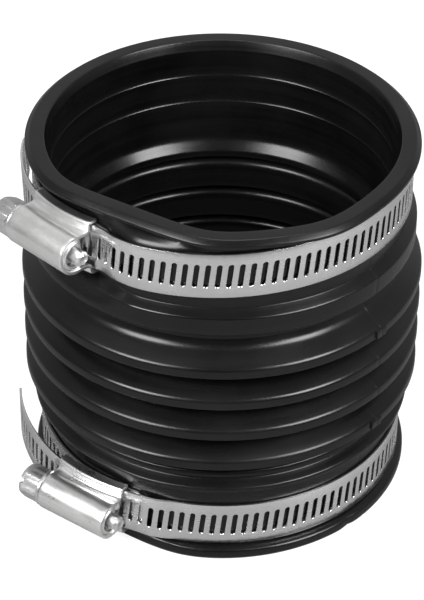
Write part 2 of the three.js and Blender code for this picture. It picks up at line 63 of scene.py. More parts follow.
# ---------- Driving dimensions ----------
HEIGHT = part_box("upper_cuff")[1][2]
FOLDS = ("fold_1", "fold_2", "fold_3", "fold_4")
FOLD_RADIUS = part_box("fold_1")[1][0]
FOLD_ROOT_DROP = 1.5 * MM
RIM_Z = [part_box(name)[0][2] + FOLD_ROOT_DROP for name in FOLDS]
RIM_HEIGHT = 3 * MM
ROOT_RADIUS = 51.8 * MM
NECK_RADIUS = 48.8 * MM
PEAK_RISE = 3 * MM
VALLEY_RADIUS = 57 * MM
SHOULDER_RADIUS = 57.2 * MM
GROOVE_RADIUS = 53.6 * MM
LIP_RADIUS = 58.4 * MM
SEAT_RADIUS = 55.6 * MM
BORE_RADIUS = 51.4 * MM
MOUTH_RADIUS = 52.6 * MM
LIP_CHAMFER = 1.5 * MM
UPPER_ROUND_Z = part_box("upper_neck")[0][2] + 2 * MM
UPPER_SEAT_Z = UPPER_ROUND_Z + 8 * MM
LOWER_ROUND_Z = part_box("lower_neck")[1][2] - 3 * MM
LOWER_SEAT_Z = LOWER_ROUND_Z - 7 * MM
SEAT_BLEND = 0.35 * MM
LIP_BLEND = 2 * MM

SLEEVE_SIDES = 216
ROW_STEP = 1.6 * MM
FILLET_STEPS = 5

BAND_WIDTH = 14.8 * MM
BAND_THICKNESS = 0.7 * MM
BAND_EDGE = 0.18 * MM
SLOT_PITCH = 3.175 * MM
SLOT_LENGTH = 7.7 * MM
SLOT_WIDTH = 1.5 * MM
SLOT_HALF = (SLOT_LENGTH - SLOT_WIDTH) / 2
SLOT_BEVEL = 0.07 * MM
SLOT_LEAN = math.radians(-6.5)
FIT_GAP = 0.3 * MM
SADDLE_THICKNESS = 0.9 * MM

HOUSING_HALF = 12 * MM
SHEET = 0.95 * MM
ARCH_RADIUS = 6 * MM
WORM_CREST = 4.6 * MM
WORM_ROOT = 3.4 * MM
JOURNAL_RADIUS = 3.2 * MM
HEX_ACROSS_FLATS = 9.9 * MM
HEX_LENGTH = 7 * MM
COLLAR_LENGTH = 1.4 * MM
DRIVE_SLOT_WIDTH = 1.6 * MM
DRIVE_SLOT_DEPTH = 1.5 * MM
TIP_RADIUS = 2.3 * MM
TIP_LENGTH = 3.2 * MM


# ---------- Small helpers ----------
MERGE_DISTANCE = 0.002 * MM
DEGENERATE_DISTANCE = 0.001 * MM
NEARLY_STRAIGHT = math.radians(89)
FILLET_SHARE = 0.48


def smoothstep(value, start, end):
    share = min(1.0, max(0.0, (value - start) / (end - start)))
    return share * share * (3 - 2 * share)


def bump_at(value, centre, width):
    """A smooth hump of height 1 at centre."""
    return math.exp(-(((value - centre) / width) ** 2))


def new_piece(name, vertices, faces, material, sharp_angle=35):
    mesh = bpy.data.meshes.new(name)
    mesh.from_pydata([tuple(v) for v in vertices], [], faces)
    mesh.validate()
    tidy = bmesh.new()
    tidy.from_mesh(mesh)
    bmesh.ops.remove_doubles(tidy, verts=tidy.verts, dist=MERGE_DISTANCE)
    bmesh.ops.dissolve_degenerate(tidy, edges=tidy.edges, dist=DEGENERATE_DISTANCE)
    bmesh.ops.recalc_face_normals(tidy, faces=tidy.faces)
    tidy.to_mesh(mesh)
    tidy.free()
    mesh.shade_smooth()
    mesh.set_sharp_from_angle(angle=math.radians(sharp_angle))
    piece = bpy.data.objects.new(name, mesh)
    bpy.context.scene.collection.objects.link(piece)
    mesh.materials.append(material)
    return piece


def rounded(corners, closed=True):
    """Points along an outline of (across, up, fillet) corners, with each fillet as an arc."""
    points = []
    count = len(corners)
    for i, (across, up, fillet) in enumerate(corners):
        corner = Vector((across, up))
        is_end = not closed and i in (0, count - 1)
        if fillet == 0 or is_end:
            points.append(corner)
            continue
        back = Vector(corners[i - 1][:2]) - corner
        ahead = Vector(corners[(i + 1) % count][:2]) - corner
        half = back.angle(ahead) / 2
        if half > NEARLY_STRAIGHT:
            points.append(corner)
            continue
        longest = FILLET_SHARE * min(back.length, ahead.length)
        reach = min(fillet / math.tan(half), longest)
        start = corner + back.normalized() * reach
        end = corner + ahead.normalized() * reach
        radius = reach * math.tan(half)
        middle = (back.normalized() + ahead.normalized()).normalized()
        centre = corner + middle * (radius / math.sin(half))
        sweep = (start - centre).angle_signed(end - centre)
        for k in range(FILLET_STEPS + 1):
            turn = Matrix.Rotation(-sweep * k / FILLET_STEPS, 2)
            points.append(centre + turn @ (start - centre))
    return points


def subdivided(points, step, closed=True):
    """The same outline with no stretch longer than step."""
    result = []
    last = len(points) if closed else len(points) - 1
    for i in range(last):
        a = points[i]
        b = points[(i + 1) % len(points)]
        cuts = max(1, math.ceil((b - a).length / step))
        for k in range(cuts):
            result.append(a.lerp(b, k / cuts))
    if not closed:
        result.append(points[-1])
    return result


# ---------- The clamps' places, from the frame's joints ----------
JOINTS = {joint["name"]: joint for joint in frame["joints"]}


class Clamp:
    """One clamp's frame: along the screw, out away from the pipe, and up along the band's width."""

    def __init__(self, name, seat_depth, lip_depth, lip_azimuth, seat_end_z, lip_start_z, head_turn):
        screw = JOINTS[f"{name}_screw_turn"]
        feed = JOINTS[f"{name}_band_feed"]
        self.name = name
        self.along = Vector(screw["axis"]).normalized()
        self.up = -Vector(feed["axis"]).normalized()
        self.out = self.along.cross(self.up)
        self.screw = Vector(screw["pos_m"])
        self.centre = Vector(feed["pos_m"])
        self.turn = math.asin(self.along.y)
        self.slope = -self.up.x / self.up.z
        self.middle = self.screw.z - self.slope * self.screw.x
        base = Vector((0, 0, self.middle))
        self.screw_height = (self.screw - base).dot(self.out)
        self.housing_x = (self.screw - base).dot(self.along)
        self.centre_out = (self.centre - base).dot(self.out)
        arc = (self.screw - self.centre).length
        self.tail_radius = arc - WORM_CREST - FIT_GAP - BAND_THICKNESS
        self.saddle_height = self.screw_height - WORM_CREST - 2 * FIT_GAP - BAND_THICKNESS - SADDLE_THICKNESS
        self.seat_depth = seat_depth
        self.lip_depth = lip_depth
        self.lip_azimuth = lip_azimuth
        self.seat_end_z = seat_end_z
        self.lip_start_z = lip_start_z
        self.head_turn = head_turn

    def place(self, x, out, up):
        """A point measured from the middle of the screw housing, on the screw's axis."""
        return self.screw + self.along * x + self.out * out + self.up * up


UPPER = Clamp(
    "upper",
    seat_depth=3.6 * MM,
    lip_depth=4.9 * MM,
    lip_azimuth=math.radians(8),
    seat_end_z=HEIGHT - 5.6 * MM,
    lip_start_z=HEIGHT - 3.2 * MM,
    head_turn=math.radians(-6),
)
LOWER = Clamp(
    "lower",
    seat_depth=0.6 * MM,
    lip_depth=2.2 * MM,
    lip_azimuth=math.radians(5),
    seat_end_z=4.6 * MM,
    lip_start_z=3.4 * MM,
    head_turn=math.radians(31.5),
)
CLAMPS = (UPPER, LOWER)


# ---------- The cuffs' flattened shape ----------
LEAST_FACING = 0.2


def drawn_in(from_flat, depth, blend):
    """How far a flat of that depth draws the cuff in, at an azimuth measured from the flat's middle."""
    facing = math.cos(from_flat)
    if facing < LEAST_FACING:
        return 0.0
    beyond = (LIP_RADIUS - depth) / facing - LIP_RADIUS
    return blend * math.log1p(math.exp(-beyond / blend))


def flat_draw(clamp, azimuth, z, round_z, seat_z):
    at_lip = smoothstep(z, clamp.seat_end_z, clamp.lip_start_z)
    at_seat = smoothstep(z, round_z, seat_z) * (1 - at_lip)
    lip = drawn_in(azimuth - clamp.lip_azimuth, clamp.lip_depth, LIP_BLEND)
    seat = drawn_in(azimuth - clamp.turn, clamp.seat_depth, SEAT_BLEND)
    return at_lip * lip + at_seat * seat


BULGE_AZIMUTH = math.radians(72)
BULGE_WIDTH = math.radians(13)
BULGE_HEIGHT = 1.5 * MM


def sleeve_draw(azimuth, z):
    """How far the whole sleeve's wall lies inside its round shape at an azimuth and height."""
    if z > UPPER_ROUND_Z:
        bulge = BULGE_HEIGHT * bump_at(azimuth, BULGE_AZIMUTH, BULGE_WIDTH)
        above_band = smoothstep(z, UPPER.seat_end_z, UPPER.lip_start_z)
        return flat_draw(UPPER, azimuth, z, UPPER_ROUND_Z, UPPER_SEAT_Z) - bulge * above_band
    if z < LOWER_ROUND_Z:
        return flat_draw(LOWER, azimuth, z, LOWER_ROUND_Z, LOWER_SEAT_Z)
    return 0.0


# ---------- Rubber sleeve ----------
SEAMS = (math.pi / 2, -math.pi / 2)
SEAM_DEPTH = 0.1 * MM
SEAM_WIDTH = math.radians(0.25)
SEAM_TOP_Z = HEIGHT - 2 * MM
SEAM_INNER_RADIUS = GROOVE_RADIUS - 0.2 * MM
SEAM_STEPS_DEGREES = (0.12, 0.25, 0.5, 1.95, 2.05)
CLOSEST_STEP = math.radians(0.05)
TAB_HEIGHT = 0.6 * MM
TAB_SPAN = math.radians(2)
TAB_RIMS = (0, 3)
NOTCH_DEPTH = 0.5 * MM
NOTCH_AZIMUTH = math.radians(83)
NOTCH_WIDTH = math.radians(1.6)


def seam_rise(azimuth, radius, z):
    """The mould's parting line, the square tabs that it leaves on two rims, and a nick in the lower lip."""
    if radius < SEAM_INNER_RADIUS or z > SEAM_TOP_Z:
        return 0.0
    rise = 0.0
    for seam in SEAMS:
        rise -= SEAM_DEPTH * bump_at(azimuth, seam, SEAM_WIDTH)
    for index in TAB_RIMS:
        on_rim = RIM_Z[index] <= z <= RIM_Z[index] + RIM_HEIGHT
        if on_rim and abs(azimuth - SEAMS[0]) < TAB_SPAN:
            rise += TAB_HEIGHT
    if z < LOWER.seat_end_z and radius > SEAT_RADIUS:
        rise -= NOTCH_DEPTH * bump_at(azimuth, NOTCH_AZIMUTH, NOTCH_WIDTH)
    return rise


def sleeve_azimuths():
    """Even steps all round, with closer ones at the parting line."""
    even = [-math.pi + 2 * math.pi * i / SLEEVE_SIDES for i in range(SLEEVE_SIDES)]
    fine = []
    for seam in SEAMS:
        for step in SEAM_STEPS_DEGREES:
            fine.append(seam + math.radians(step))
            fine.append(seam - math.radians(step))
    azimuths = []
    for azimuth in sorted(even + fine):
        if not azimuths or azimuth - azimuths[-1] > CLOSEST_STEP:
            azimuths.append(azimuth)
    return azimuths


def revolved(name, outline, material):
    """A closed ring about Z from an outline of (radius, z), shaped by the flats and the seam."""
    azimuths = sleeve_azimuths()
    rows = subdivided(outline, ROW_STEP)
    vertices = []
    for azimuth in azimuths:
        for radius, z in rows:
            outward = radius - sleeve_draw(azimuth, z) + seam_rise(azimuth, radius, z)
            vertices.append((outward * math.sin(azimuth), -outward * math.cos(azimuth), z))
    faces = []
    height = len(rows)
    for i in range(len(azimuths)):
        here = i * height
        beside = ((i + 1) % len(azimuths)) * height
        for k in range(height):
            above = (k + 1) % height
            faces.append((here + k, beside + k, beside + above, here + above))
    return new_piece(name, vertices, faces, material, sharp_angle=50)


CUT_RADIUS = FOLD_RADIUS - 0.4 * MM
# Heights over a rim's lower edge. The peak's corner stands over the peak before its fillet.
RIM_FOOT_RISE = 0.1 * MM
VALLEY_LOW_RISE = 2.6 * MM
VALLEY_HIGH_RISE = 3.4 * MM
PEAK_CORNER_LIFT = 0.8 * MM
PEAK_BACK_RISE = 5.2 * MM
SLOPE_RADIUS = 53.6 * MM
SLOPE_RISE = 7.2 * MM
# Heights below the first rim, in the lower cuff and neck.
SHOULDER_DROP = 5.2 * MM
BEAD_DROP = 9 * MM
BEAD_HEIGHT = 1.4 * MM
NECK_DROP = 3.8 * MM
BORE_DROP = 7.3 * MM
MOUTH_HEIGHT = 3 * MM
# Smaller steps on the lip, the bead and the shoulder.
LIP_STEP = 0.3 * MM
LIP_EDGE_STEP = 0.2 * MM
BEAD_SLOPE = 1.8 * MM
GROOVE_STEP = 0.6 * MM
SHOULDER_BOTTOM_STEP = 0.4 * MM
SHOULDER_TOP_STEP = 1.2 * MM
SHOULDER_TAPER = 0.6 * MM
# Heights over the top rim, and then from the upper cuff's foot and from the top.
TOP_SLOPE_RADIUS = 54.6 * MM
TOP_SLOPE_RISE = 6.9 * MM
GROOVE_RISE = 9.4 * MM
STOP_TOP_RISE = 10.8 * MM
STOP_RISE = 7.2 * MM
GROOVE_END_DROP = 1.6 * MM
RING_BOTTOM_DROP = 0.6 * MM
RING_TOP_RISE = 5.2 * MM
SEAT_START_RISE = 7.2 * MM
SEAT_END_DROP = 2.9 * MM
LIP_BOTTOM_DROP = 2.3 * MM


def underside(rim_z):
    """Corners from the lower edge of the rim above, where a piece ends, and back down inside it."""
    return [
        (CUT_RADIUS, rim_z, 0),
        (VALLEY_RADIUS, rim_z + VALLEY_LOW_RISE, 0),
        (NECK_RADIUS, rim_z + PEAK_RISE + PEAK_CORNER_LIFT, 3 * MM),
        (NECK_RADIUS, rim_z - FOLD_ROOT_DROP, 1 * MM),
    ]


def rim_start(rim_z):
    """Corners of the upright rim band, from the cut at its lower edge."""
    return [
        (VALLEY_RADIUS, rim_z + VALLEY_LOW_RISE, 0),
        (CUT_RADIUS, rim_z, 0),
        (FOLD_RADIUS, rim_z + RIM_FOOT_RISE, 0.3 * MM),
        (FOLD_RADIUS, rim_z + RIM_HEIGHT, 1.8 * MM),
    ]


def inner_peak(rim_z):
    """Corners down the inside of a fold, from the neck above it to the valley behind its rim."""
    return [
        (NECK_RADIUS, rim_z + PEAK_BACK_RISE, 0.5 * MM),
        (VALLEY_RADIUS, rim_z + VALLEY_HIGH_RISE, 0.3 * MM),
    ]


def lower_sleeve_outline():
    """(radius, z, fillet) corners of the lower cuff and neck, from the mouth up outside and down the bore."""
    top = RIM_Z[0]
    shoulder = top - SHOULDER_DROP
    bead = top - BEAD_DROP
    return [
        (MOUTH_RADIUS, 0, 0.5 * MM),
        (LIP_RADIUS, 0, 1.7 * MM),
        (LIP_RADIUS, LOWER.lip_start_z + LIP_STEP, 1.3 * MM),
        (SEAT_RADIUS, LOWER.seat_end_z, 0.3 * MM),
        (SEAT_RADIUS, bead - 2 * BEAD_HEIGHT, 0.4 * MM),
        (LIP_RADIUS, bead - BEAD_HEIGHT, 0.7 * MM),
        (LIP_RADIUS, bead, 0.7 * MM),
        (SEAT_RADIUS - GROOVE_STEP, bead + BEAD_SLOPE, 0.5 * MM),
        (SHOULDER_RADIUS, shoulder - SHOULDER_BOTTOM_STEP, 0.9 * MM),
        (SHOULDER_RADIUS - SHOULDER_TAPER, shoulder + SHOULDER_TOP_STEP, 0.8 * MM),
        (ROOT_RADIUS, top - FOLD_ROOT_DROP, 0.7 * MM),
        *underside(top),
        (NECK_RADIUS, top - NECK_DROP, 0.8 * MM),
        (BORE_RADIUS, top - BORE_DROP, 0.5 * MM),
        (BORE_RADIUS, MOUTH_HEIGHT, 0.8 * MM),
    ]


def fold_outline(index):
    """(radius, z, fillet) corners of one ridge, from its rim up to the rim above it."""
    rim = RIM_Z[index]
    following = RIM_Z[index + 1]
    return [
        *rim_start(rim),
        (SLOPE_RADIUS, rim + SLOPE_RISE, 6 * MM),
        (ROOT_RADIUS, following - FOLD_ROOT_DROP, 1.1 * MM),
        *underside(following),
        *inner_peak(rim),
    ]


RIB_RISE = 0.35 * MM
RIB_HEIGHTS = (95.5 * MM, 105 * MM)
RIB_ABOVE = 0.45 * MM
RIB_BELOW = 0.9 * MM
RIB_FILLET = 0.15 * MM


def bore_ribs():
    """Two fine steps round the upper bore, from the top down."""
    corners = []
    for z in reversed(RIB_HEIGHTS):
        corners.append((BORE_RADIUS, z + RIB_ABOVE, 0))
        corners.append((BORE_RADIUS - RIB_RISE, z, RIB_FILLET))
        corners.append((BORE_RADIUS, z - RIB_BELOW, 0))
    return corners


def upper_sleeve_outline():
    """(radius, z, fillet) corners of the top ridge and the upper cuff, up outside and down the bore."""
    rim = RIM_Z[-1]
    return [
        *rim_start(rim),
        (TOP_SLOPE_RADIUS, rim + TOP_SLOPE_RISE, 5 * MM),
        (GROOVE_RADIUS, rim + GROOVE_RISE, 1.2 * MM),
        (GROOVE_RADIUS, UPPER_ROUND_Z - GROOVE_END_DROP, 0.8 * MM),
        (LIP_RADIUS, UPPER_ROUND_Z - RING_BOTTOM_DROP, 0.7 * MM),
        (LIP_RADIUS, UPPER_ROUND_Z + RING_TOP_RISE, 0.9 * MM),
        (SEAT_RADIUS, UPPER_ROUND_Z + SEAT_START_RISE, 0.4 * MM),
        (SEAT_RADIUS, HEIGHT - SEAT_END_DROP, 0.3 * MM),
        (LIP_RADIUS, HEIGHT - LIP_BOTTOM_DROP, 0.4 * MM),
        (LIP_RADIUS, HEIGHT - LIP_CHAMFER + LIP_EDGE_STEP, 0.5 * MM),
        (LIP_RADIUS - LIP_CHAMFER, HEIGHT, 0.8 * MM),
        (MOUTH_RADIUS, HEIGHT, 0.5 * MM),
        (BORE_RADIUS, HEIGHT - MOUTH_HEIGHT, 0.4 * MM),
        *bore_ribs(),
        (BORE_RADIUS, rim + STOP_TOP_RISE, 4 * MM),
        (NECK_RADIUS, rim + STOP_RISE, 1.5 * MM),
        *inner_peak(rim),
    ]


def blend_span(piece):
    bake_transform(piece)


def make_sleeve(material):
    lower = revolved("rubber_lower_cuff", rounded(lower_sleeve_outline()), material)
    blend_span(lower)
    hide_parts("lower_cuff", "lower_neck")
    for index in range(len(FOLDS) - 1):
        piece = revolved(f"rubber_fold_{index + 1}", rounded(fold_outline(index)), material)
        blend_span(piece)
        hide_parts(FOLDS[index])
    upper = revolved("rubber_upper_cuff", rounded(upper_sleeve_outline()), material)
    blend_span(upper)
    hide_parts(FOLDS[-1], "upper_neck", "upper_cuff")


# ---------- Strip metal ----------
ARC_STEPS = 7


def slot_outline(grow):
    """Points round a leaning, round-ended slot, grown by a margin: (along, up), top half first."""
    radius = SLOT_WIDTH / 2 + grow
    points = []
    for end in (1, -1):
        for k in range(ARC_STEPS + 1):
            angle = math.pi * k / ARC_STEPS + (0 if end > 0 else math.pi)
            up = end * SLOT_HALF + radius * math.sin(angle)
            along = up * math.tan(SLOT_LEAN) + radius * math.cos(angle)
            points.append((along, up))
    return points


def cell_outline(length):
    """Points round one cell of the strip, matched one to one with slot_outline's."""
    top = BAND_WIDTH / 2 - BAND_EDGE
    points = []
    for end in (1, -1):
        points.append((end * length / 2, end * SLOT_HALF))
        for k in range(ARC_STEPS - 1):
            points.append((end * length * (0.5 - k / (ARC_STEPS - 2)), end * top))
        points.append((-end * length / 2, end * SLOT_HALF))
    return points


# The rounded long edge of the strip: (share of the thickness, distance in from the edge).
EDGE_PROFILE = ((1, BAND_EDGE), (0.9, 0.06 * MM), (0.5, 0), (0.1, 0.06 * MM), (0, BAND_EDGE))


def strip_piece(name, route, stations, slotted, taper, material):
    """A strip of cells along route(s), which gives a point, its outward direction and its up direction.

    taper(s) narrows the strip at its ends.
    """
    vertices = []
    faces = []

    def add(s, up, share):
        point, out, upward = route(s)
        vertices.append(point + out * (share * BAND_THICKNESS) + upward * (up * taper(s)))
        return len(vertices) - 1

    def ring(points, centre, share):
        return [add(centre + along, up, share) for along, up in points]

    def join(first, second):
        for k in range(len(first)):
            after = (k + 1) % len(first)
            faces.append((first[k], first[after], second[after], second[k]))

    for i in range(len(stations) - 1):
        length = stations[i + 1] - stations[i]
        centre = (stations[i] + stations[i + 1]) / 2
        cell = cell_outline(length)
        outer = ring(cell, centre, 1)
        inner = ring(cell, centre, 0)
        if slotted[i]:
            deep = SLOT_BEVEL / BAND_THICKNESS
            outer_edge = ring(slot_outline(SLOT_BEVEL), centre, 1)
            outer_wall = ring(slot_outline(0), centre, 1 - deep)
            inner_wall = ring(slot_outline(0), centre, deep)
            inner_edge = ring(slot_outline(SLOT_BEVEL), centre, 0)
            join(outer, outer_edge)
            join(outer_edge, outer_wall)
            join(outer_wall, inner_wall)
            join(inner_wall, inner_edge)
            join(inner_edge, inner)
        else:
            faces.append(tuple(outer))
            faces.append(tuple(reversed(inner)))
        for end in (1, -1):
            first = 1 if end > 0 else ARC_STEPS + 2
            top = [cell[first + k][0] for k in range(ARC_STEPS - 1)]
            rows = []
            for share, inset in EDGE_PROFILE:
                up = end * (BAND_WIDTH / 2 - inset)
                rows.append([add(centre + along, up, share) for along in top])
            for a, b in zip(rows, rows[1:]):
                for k in range(len(top) - 1):
                    faces.append((a[k], a[k + 1], b[k + 1], b[k]))
    for s in (stations[0], stations[-1]):
        top = BAND_WIDTH / 2
        cap = [add(s, top - inset, share) for share, inset in EDGE_PROFILE]
        cap += [add(s, SLOT_HALF, 0), add(s, -SLOT_HALF, 0)]
        cap += [add(s, -top + inset, share) for share, inset in reversed(EDGE_PROFILE)]
        cap += [add(s, -SLOT_HALF, 1), add(s, SLOT_HALF, 1)]
        faces.append(tuple(cap))
    return new_piece(name, vertices, faces, material, sharp_angle=40)


# Distances along the screw from the housing's middle, as in the frame's own loop.
TONGUE_REACH = 18.6 * MM
SLOTS_START = TONGUE_REACH - 2 * MM
SHORTEST_CELL = 0.5 * MM
JOGGLE_START = 28 * MM
JOGGLE_END = 19.5 * MM
RAMP_START = 19 * MM
RAMP_END = 10 * MM
RETURN_DEPTH = 6 * MM
LAYER_LIFT = BAND_THICKNESS + FIT_GAP
LAST_QUARTER = 1.75 * math.pi
LOOP_STEPS = 2400
END_TAPER = 2.4 * MM
END_NARROWING = 0.22


def seat_point(clamp, azimuth, lift):
    """The loop's inner face at an azimuth, in the clamp's plane."""
    radius = SEAT_RADIUS + FIT_GAP + lift - drawn_in(azimuth, clamp.seat_depth, SEAT_BLEND)
    return Vector((radius * math.sin(azimuth), -radius * math.cos(azimuth)))


def loop_point(clamp, turn):
    """The loop from the tongue's end, round the cuff towards -X, and back into the housing."""
    start = math.atan2(clamp.housing_x + TONGUE_REACH, clamp.saddle_height)
    azimuth = start - turn
    seated = seat_point(clamp, azimuth, 0)
    if turn < LAST_QUARTER:
        return seated
    from_housing = seated.x - clamp.housing_x
    joggle = smoothstep(JOGGLE_START - from_housing, 0, JOGGLE_START - JOGGLE_END)
    lifted = seat_point(clamp, azimuth, LAYER_LIFT * joggle)
    ramp = smoothstep(RAMP_START - from_housing, 0, RAMP_START - RAMP_END)
    if ramp == 0:
        return lifted
    across = lifted.x - clamp.housing_x
    on_arc = -clamp.centre_out - math.sqrt(clamp.tail_radius**2 - across**2)
    return Vector((lifted.x, lifted.y + (on_arc - lifted.y) * ramp))


def loop_route(clamp):
    """(route, whole length) of the loop. It is sheared to the clamp's slope, so its wall stays upright."""
    last_turn = 2 * math.pi + math.atan2(TONGUE_REACH - RETURN_DEPTH, clamp.saddle_height)
    points = [loop_point(clamp, last_turn * i / LOOP_STEPS) for i in range(LOOP_STEPS + 1)]
    lengths = [0.0]
    for a, b in zip(points, points[1:]):
        lengths.append(lengths[-1] + (b - a).length)
    total = lengths[-1]
    spin = Matrix.Rotation(clamp.turn, 2)

    def route(s):
        low = 0
        high = LOOP_STEPS - 1
        while low < high:
            middle = (low + high + 1) // 2
            if lengths[middle] <= s:
                low = middle
            else:
                high = middle - 1
        a = points[low]
        b = points[low + 1]
        span = lengths[low + 1] - lengths[low]
        flat = spin @ a.lerp(b, (s - lengths[low]) / span)
        ahead = spin @ ((b - a) / span)
        point = Vector((flat.x, flat.y, clamp.middle + clamp.slope * flat.x))
        return point, Vector((-ahead.y, ahead.x, 0)), Vector((0, 0, 1))

    return route, total


def end_taper(first, last):
    """Narrows a strip towards a free end at first or last; None leaves that end square."""
    def taper(s):
        narrow = 0.0
        if first is not None:
            narrow = max(narrow, 1 - (s - first) / END_TAPER)
        if last is not None:
            narrow = max(narrow, 1 - (last - s) / END_TAPER)
        return 1 - END_NARROWING * narrow
    return taper


def make_loop(clamp, material):
    route, total = loop_route(clamp)
    cells = math.floor(total / SLOT_PITCH)
    stations = [0.0, END_TAPER]
    for i in range(cells + 1):
        s = total - (cells - i) * SLOT_PITCH
        if s > END_TAPER + SHORTEST_CELL:
            stations.append(s)
    slotted = [s > SLOTS_START for s in stations]
    taper = end_taper(0.0, None)
    band = strip_piece(f"{clamp.name}_band_loop", route, stations, slotted, taper, material)
    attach(band, f"{clamp.name}_end")
    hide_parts(f"{clamp.name}_band")


TAIL_SWEEP = {"upper": math.radians(51.5), "lower": math.radians(49)}
TAIL_ROOT_OFFSET = -0.2 * MM
TAIL_END_PLAIN = 2.2 * MM


def make_tail(clamp, material):
    start = TAIL_ROOT_OFFSET / clamp.tail_radius
    cells = math.floor((start + TAIL_SWEEP[clamp.name]) * clamp.tail_radius / SLOT_PITCH)
    stations = [i * SLOT_PITCH for i in range(cells + 1)]
    end = stations[-1] + TAIL_END_PLAIN
    stations.append(end)
    slotted = [i < cells for i in range(len(stations))]

    def route(s):
        angle = start - s / clamp.tail_radius
        outward = clamp.along * math.sin(angle) + clamp.out * math.cos(angle)
        return clamp.centre + outward * clamp.tail_radius, outward, clamp.up

    taper = end_taper(None, end)
    tail = strip_piece(f"{clamp.name}_band_free_end", route, stations, slotted, taper, material)
    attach(tail, f"{clamp.name}_tail")
    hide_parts(f"{clamp.name}_band_tail")


# ---------- Screw housing ----------
SKIRT_HALF = BAND_WIDTH / 2 + 0.4 * MM + SHEET
SKIRT_BOTTOM = -6.7 * MM
SHOULDER_OUT = -3.7 * MM
WAIST_HALF = 5.9 * MM
WAIST_OUT = -3.3 * MM
ARCH_START_OUT = -1.4 * MM
FLANK_STEP = 0.5 * MM
SPRING_ANGLE = math.radians(-14)
ARCH_SPAN_STEPS = 60
HOUSING_CELLS = 24
CREASE_ANGLE = math.radians(81)
CREASE_WIDTH = math.radians(2.2)
CREASE_DEPTH = 0.1 * MM
CREASE_END = HOUSING_HALF * 0.72
CREASE_FADE = 1 * MM
SHEET_EDGE = 0.22 * MM
ROUNDED_ANGLE = math.radians(55)
SHELL_SHARP_ANGLE = math.radians(45)


def housing_section():
    """(across, out, share of arch) along the pressed sheet's outer face, from one skirt to the other."""
    side = [
        (SKIRT_HALF, SKIRT_BOTTOM, 0),
        (SKIRT_HALF, SHOULDER_OUT, 0.9 * MM),
        (WAIST_HALF, WAIST_OUT, 1 * MM),
        (ARCH_RADIUS * math.cos(SPRING_ANGLE), ARCH_RADIUS * math.sin(SPRING_ANGLE), 0),
    ]
    flank = subdivided(rounded(side, closed=False), FLANK_STEP, closed=False)
    section = []
    for point in flank[:-1]:
        section.append((point.x, point.y, smoothstep(point.y, WAIST_OUT, ARCH_START_OUT)))
    sweep = math.pi - 2 * SPRING_ANGLE
    for k in range(ARCH_SPAN_STEPS + 1):
        angle = SPRING_ANGLE + sweep * k / ARCH_SPAN_STEPS
        section.append((ARCH_RADIUS * math.cos(angle), ARCH_RADIUS * math.sin(angle), 1))
    for across, out, share in reversed(section[:len(flank) - 1]):
        section.append((-across, out, share))
    return section


def grid_faces(columns, rows, closed=False):
    faces = []
    last = columns if closed else columns - 1
    for i in range(last):
        here = i * rows
        beside = ((i + 1) % columns) * rows
        for k in range(rows - 1):
            faces.append((here + k, beside + k, beside + k + 1, here + k + 1))
    return faces


def apply_modifiers(piece):
    bpy.context.view_layer.update()
    ready = piece.evaluated_get(bpy.context.evaluated_depsgraph_get())
    mesh = bpy.data.meshes.new_from_object(ready)
    mesh.name = piece.data.name
    piece.modifiers.clear()
    piece.data = mesh


def make_shell(clamp, material):
    """The pressed sheet: an arch over the screw, shoulders along the band, and skirts down its edges."""
    section = housing_section()
    vertices = []
    for i in range(HOUSING_CELLS + 1):
        x = HOUSING_HALF * (2 * i / HOUSING_CELLS - 1)
        sag = x * x / (2 * clamp.tail_radius)
        for across, out, share in section:
            angle = math.atan2(out, across)
            creased = bump_at(angle, CREASE_ANGLE, CREASE_WIDTH) * share
            creased *= 1 - smoothstep(x, CREASE_END, CREASE_END + CREASE_FADE)
            shrink = 1 - CREASE_DEPTH * creased / ARCH_RADIUS
            vertices.append(clamp.place(x, out * shrink - sag * (1 - share), across * shrink))
    faces = grid_faces(HOUSING_CELLS + 1, len(section))
    shell = new_piece(f"{clamp.name}_housing_shell", vertices, faces, material, sharp_angle=60)
    outward = sum((f.normal.dot(f.center - clamp.screw) for f in shell.data.polygons), 0.0)
    thick = shell.modifiers.new("sheet", "SOLIDIFY")
    thick.thickness = SHEET
    thick.offset = -1 if outward > 0 else 1
    edges = shell.modifiers.new("edges", "BEVEL")
    edges.width = SHEET_EDGE
    edges.segments = 2
    edges.limit_method = "ANGLE"
    edges.angle_limit = ROUNDED_ANGLE
    apply_modifiers(shell)
    shell.data.set_sharp_from_angle(angle=SHELL_SHARP_ANGLE)
    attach(shell, f"{clamp.name}_end")
    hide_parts(f"{clamp.name}_housing")


# The rolled end of the barrel, round its section: (distance in from the housing's end, radius, fillet).
ROLL_PROFILE = (
    (1.6 * MM, 5.2 * MM, 0),
    (1.5 * MM, 5.9 * MM, 0.3 * MM),
    (-0.1 * MM, 5.8 * MM, 0.7 * MM),
    (0.1 * MM, 4.9 * MM, 0.35 * MM),
    (0.8 * MM, 4.5 * MM, 0.35 * MM),
    (0.1 * MM, 4.2 * MM, 0.35 * MM),
    (0, 3.5 * MM, 0.35 * MM),
    (1.6 * MM, 3.5 * MM, 0.3 * MM),
)
ROLL_STEPS = 64


